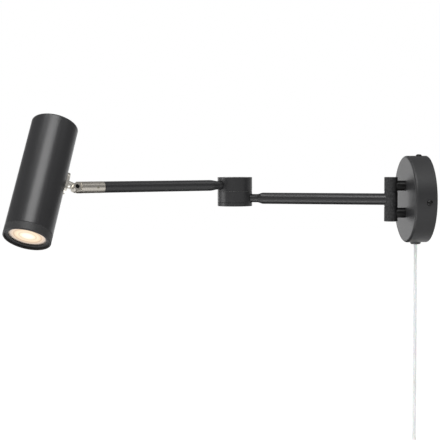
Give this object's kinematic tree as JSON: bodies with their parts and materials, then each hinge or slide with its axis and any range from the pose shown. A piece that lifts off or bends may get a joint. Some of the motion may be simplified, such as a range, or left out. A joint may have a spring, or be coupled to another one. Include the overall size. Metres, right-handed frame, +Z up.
{
  "type": "plug-in wall lamp",
  "caption": "Black swing-arm wall lamp with a round canopy, jointed arm, drum elbow and tilting tube spot head, fed by a plug-in cord.",
  "frame": {"origin": "middle of the canopy's back, on the wall plane, midway between the two wall screws", "axes": "+Y into the wall, +Z up, +X to the right of someone facing the wall"},
  "size_m": [0.2169, 0.5475, 0.5863],
  "materials": {
    "black_coat": "satin black powder coat",
    "textured_coat": "textured black powder coat",
    "black_oxide": "black-oxide screw",
    "nickel": "satin nickel plate",
    "steel": "zinc-plated steel",
    "black_plastic": "moulded black nylon",
    "white_plastic": "moulded white plastic",
    "plated_brass": "nickel-plated brass",
    "holder_ceramic": "unglazed steatite",
    "lit_lens": "frosted lamp lens, lit warm white",
    "pale_cord": "pale translucent cord sheath"
  },
  "bodies": {
    "wall_base": {"canopy": "black_coat", "wall_plate": "steel", "canopy_screws": "black_oxide", "upper_knuckle": "textured_coat", "lower_knuckle": "textured_coat", "standoff_screws": "steel", "hinge_pin": "steel", "hinge_washers": "black_plastic", "cord_gland": "black_plastic", "gland_nut": "black_plastic", "terminal_block": "white_plastic", "terminal_screws": "plated_brass", "inner_lead": "pale_cord", "mains_cord": "pale_cord", "cord_coil": "pale_cord", "coil_tie": "black_plastic", "cord_tail": "pale_cord", "plug_body": "white_plastic", "plug_pins": "plated_brass"},
    "inner_arm": {"middle_knuckle": "textured_coat", "inner_arm_tube": "black_coat", "inner_arm_neck": "black_coat", "lower_drum": "black_coat", "lower_drum_cap": "black_coat", "elbow_pivot": "steel", "seam_washer": "steel", "pivot_washer": "steel", "pivot_nut": "steel"},
    "outer_arm": {"upper_drum": "black_coat", "upper_drum_cap": "black_coat", "outer_arm_neck": "black_coat", "outer_arm_tube": "black_coat", "swivel_spigot": "steel"},
    "swivel": {"swivel_sleeve": "nickel", "sleeve_set_screw": "black_oxide", "tilt_screw": "black_oxide", "tilt_nut": "nickel"},
    "head": {"knuckle_tongue": "nickel", "tongue_nut": "steel", "head_tube": "black_coat", "front_ring": "black_coat", "lamp_housing": "white_plastic", "lamp_lens": "lit_lens", "lamp_pins": "plated_brass", "lampholder": "holder_ceramic", "holder_bracket": "steel", "holder_screws": "steel"}
  },
  "joints": [
    {"name": "wall_swing", "type": "hinge", "parent": "wall_base", "child": "inner_arm", "pos_m": [0, -0.0465, 0], "axis": [0, 0, 1], "range_deg": [-56.8, 103.2]},
    {"name": "elbow_swing", "type": "hinge", "parent": "inner_arm", "child": "outer_arm", "pos_m": [-0.08529, -0.24549, 0], "axis": [0, 0, 1], "range_deg": [-195.4, 94.6]},
    {"name": "head_roll", "type": "hinge", "parent": "outer_arm", "child": "swivel", "pos_m": [0.02501, -0.46011, 0.018], "axis": [-0.4571, 0.8894, 0], "range_deg": [-149, 191]},
    {"name": "head_tilt", "type": "hinge", "parent": "swivel", "child": "head", "pos_m": [0.02501, -0.46011, 0.018], "axis": [0.8303, 0.4267, 0.3584], "range_deg": [-67.2, 112.8]}
  ]
}
